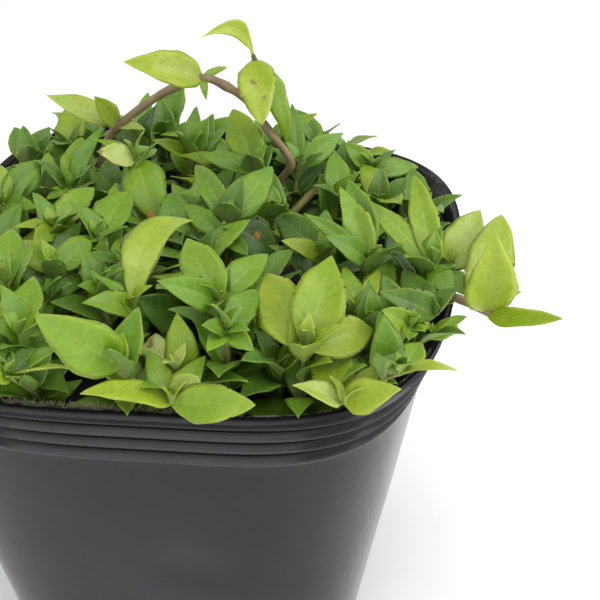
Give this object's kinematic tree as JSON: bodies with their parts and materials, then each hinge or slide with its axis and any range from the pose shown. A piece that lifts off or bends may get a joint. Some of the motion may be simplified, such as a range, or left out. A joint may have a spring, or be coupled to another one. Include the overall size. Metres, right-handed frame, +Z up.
{
  "type": "potted aquarium plant",
  "caption": "Low bushy aquarium plant with opposite pointed oval leaves, growing in a soft square nursery pot, with an arching runner.",
  "frame": {"origin": "centre of the pot's flat base, on the surface it stands on", "axes": "+Z up out of the pot; +X to the right and -Y towards the viewer when the arching runner is at the back left"},
  "size_m": [0.124, 0.1162, 0.1303],
  "materials": {
    "pot_plastic": "satin black, soft and thin-walled",
    "potting_soil": "damp, crumbly, dark brown",
    "leaf_green": "satin leaf green, paler on the midrib and underside",
    "runner_stem": "satin brown to olive stem, with yellow-green leaves on the runner"
  },
  "bodies": {
    "root": {"creeper_01": "leaf_green", "creeper_02": "leaf_green", "creeper_03": "leaf_green", "creeper_04": "leaf_green", "creeper_05": "leaf_green", "creeper_06": "leaf_green", "creeper_07": "leaf_green", "creeper_08": "leaf_green", "creeper_09": "leaf_green", "creeper_10": "leaf_green", "creeper_11": "leaf_green", "creeper_12": "leaf_green", "creeper_13": "leaf_green", "old_stem_left": "runner_stem", "old_stem_right": "runner_stem", "pot": "pot_plastic", "runner": "runner_stem", "shoot_back_blue": "leaf_green", "shoot_back_centre": "leaf_green", "shoot_back_left": "leaf_green", "shoot_back_right": "leaf_green", "shoot_back_spear": "leaf_green", "shoot_back_tall": "leaf_green", "shoot_big_leaf": "leaf_green", "shoot_blue": "leaf_green", "shoot_blue_back": "leaf_green", "shoot_centre": "leaf_green", "shoot_dark_gold": "leaf_green", "shoot_dark_pair": "leaf_green", "shoot_edge_twin": "leaf_green", "shoot_far_back": "leaf_green", "shoot_far_left": "leaf_green", "shoot_front_rosette": "leaf_green", "shoot_gold_curl": "leaf_green", "shoot_gold_spear": "leaf_green", "shoot_lances": "leaf_green", "shoot_left_broad": "leaf_green", "shoot_left_fold": "leaf_green", "shoot_left_lance": "leaf_green", "shoot_left_oval": "leaf_green", "shoot_left_pale": "leaf_green", "shoot_left_small": "leaf_green", "shoot_left_strip": "leaf_green", "shoot_lip_rosette": "leaf_green", "shoot_olive": "leaf_green", "shoot_orange_spot": "leaf_green", "shoot_oval": "leaf_green", "shoot_right_front": "leaf_green", "shoot_rim_spear": "leaf_green", "shoot_rosette": "leaf_green", "shoot_shadow": "leaf_green", "shoot_small_oval": "leaf_green", "shoot_spear": "leaf_green", "shoot_spires": "leaf_green", "shoot_spotted": "leaf_green", "shoot_tall_fold": "leaf_green", "shoot_twin_gold": "leaf_green", "shoot_v_pair": "leaf_green", "side_shoot": "leaf_green", "soil": "potting_soil"}
  },
  "joints": []
}
